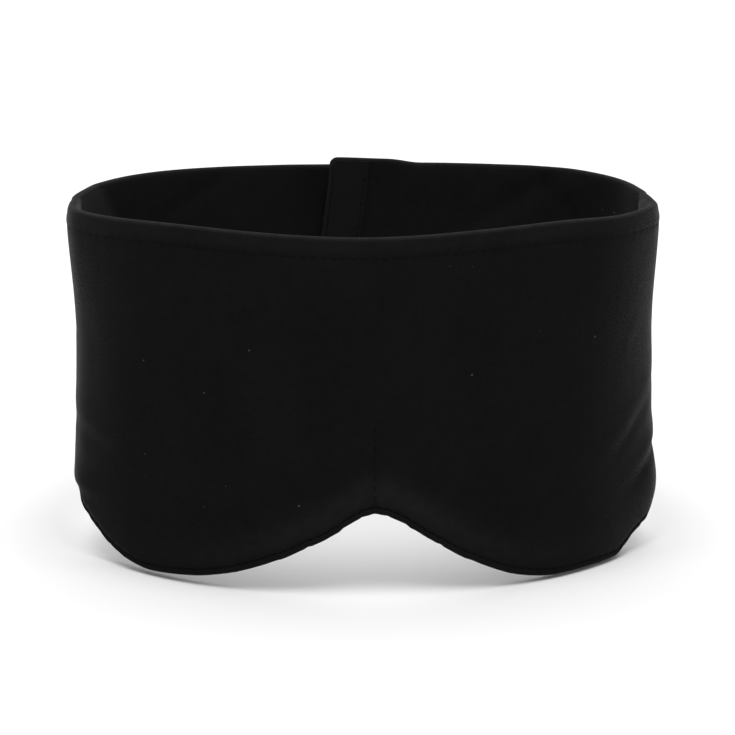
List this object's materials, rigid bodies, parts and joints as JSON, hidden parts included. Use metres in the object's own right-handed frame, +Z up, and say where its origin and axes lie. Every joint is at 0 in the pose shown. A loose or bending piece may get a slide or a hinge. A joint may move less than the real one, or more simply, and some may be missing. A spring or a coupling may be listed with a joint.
{
  "type": "sleep eye mask",
  "caption": "Wraparound padded sleep mask: deep blackout front with a nose notch, side seams and elastic bands that overlap and fasten with hook and loop at the back.",
  "frame": {"origin": "centre of the bounding box in X and Y, level with the lowest point of the two cheek lobes", "axes": "+Z up towards the forehead edge, +X across the mask to the right when its front is looked at, +Y from the front to the closure at the back"},
  "size_m": [0.1906, 0.1542, 0.115],
  "materials": {
    "outer_jersey": "matt black fine knit jersey with a soft brushed bloom",
    "lining_jersey": "matt black smooth knit lining",
    "blackout_film": "dull opaque film",
    "foam": "soft open cell foam",
    "elastic": "ribbed black elastic",
    "binding": "rolled black knit edge",
    "thread": "spun black sewing thread",
    "facing_tape": "plain woven black tape",
    "loop_pile": "brushed black loop pile",
    "hook_nylon": "black nylon hooks on a woven base"
  },
  "bodies": {
    "front": {"front_outer_panel": "outer_jersey", "front_blackout_layer": "blackout_film", "front_foam_pad": "foam", "front_lining": "lining_jersey", "top_hem_elastic": "elastic", "lower_edge_binding": "binding", "top_hem_stitching": "thread", "lower_edge_stitching": "thread", "nose_dart_stitching": "thread", "left_seam_stitching": "thread", "right_seam_stitching": "thread"},
    "left_band": {"left_band_outer": "outer_jersey", "left_band_elastic": "elastic", "left_band_lining": "lining_jersey"},
    "right_band": {"right_band_outer": "outer_jersey", "right_band_elastic": "elastic", "right_band_lining": "lining_jersey", "right_end_facing": "facing_tape", "loop_tape": "loop_pile", "loop_tape_stitching": "thread"},
    "closure_tab": {"closure_tab_outer": "outer_jersey", "closure_tab_core": "elastic", "closure_tab_lining": "lining_jersey", "hook_tape": "hook_nylon", "hook_tape_stitching": "thread"}
  },
  "joints": [
    {"name": "left_band_swing", "type": "hinge", "parent": "front", "child": "left_band", "pos_m": [-0.09426, 0.00573, 0.07], "axis": [0, 0, 1], "range_deg": [0, 75]},
    {"name": "right_band_swing", "type": "hinge", "parent": "front", "child": "right_band", "pos_m": [0.09426, 0.00573, 0.07], "axis": [0, 0, 1], "range_deg": [-45, 0]},
    {"name": "closure_tab_peel", "type": "hinge", "parent": "left_band", "child": "closure_tab", "pos_m": [-0.01482, 0.077, 0.0795], "axis": [0, 0, 1], "range_deg": [0, 110]}
  ],
  "couplings": [
    {"joint": "right_band_swing", "follows": "left_band_swing", "ratio": -0.6}
  ]
}
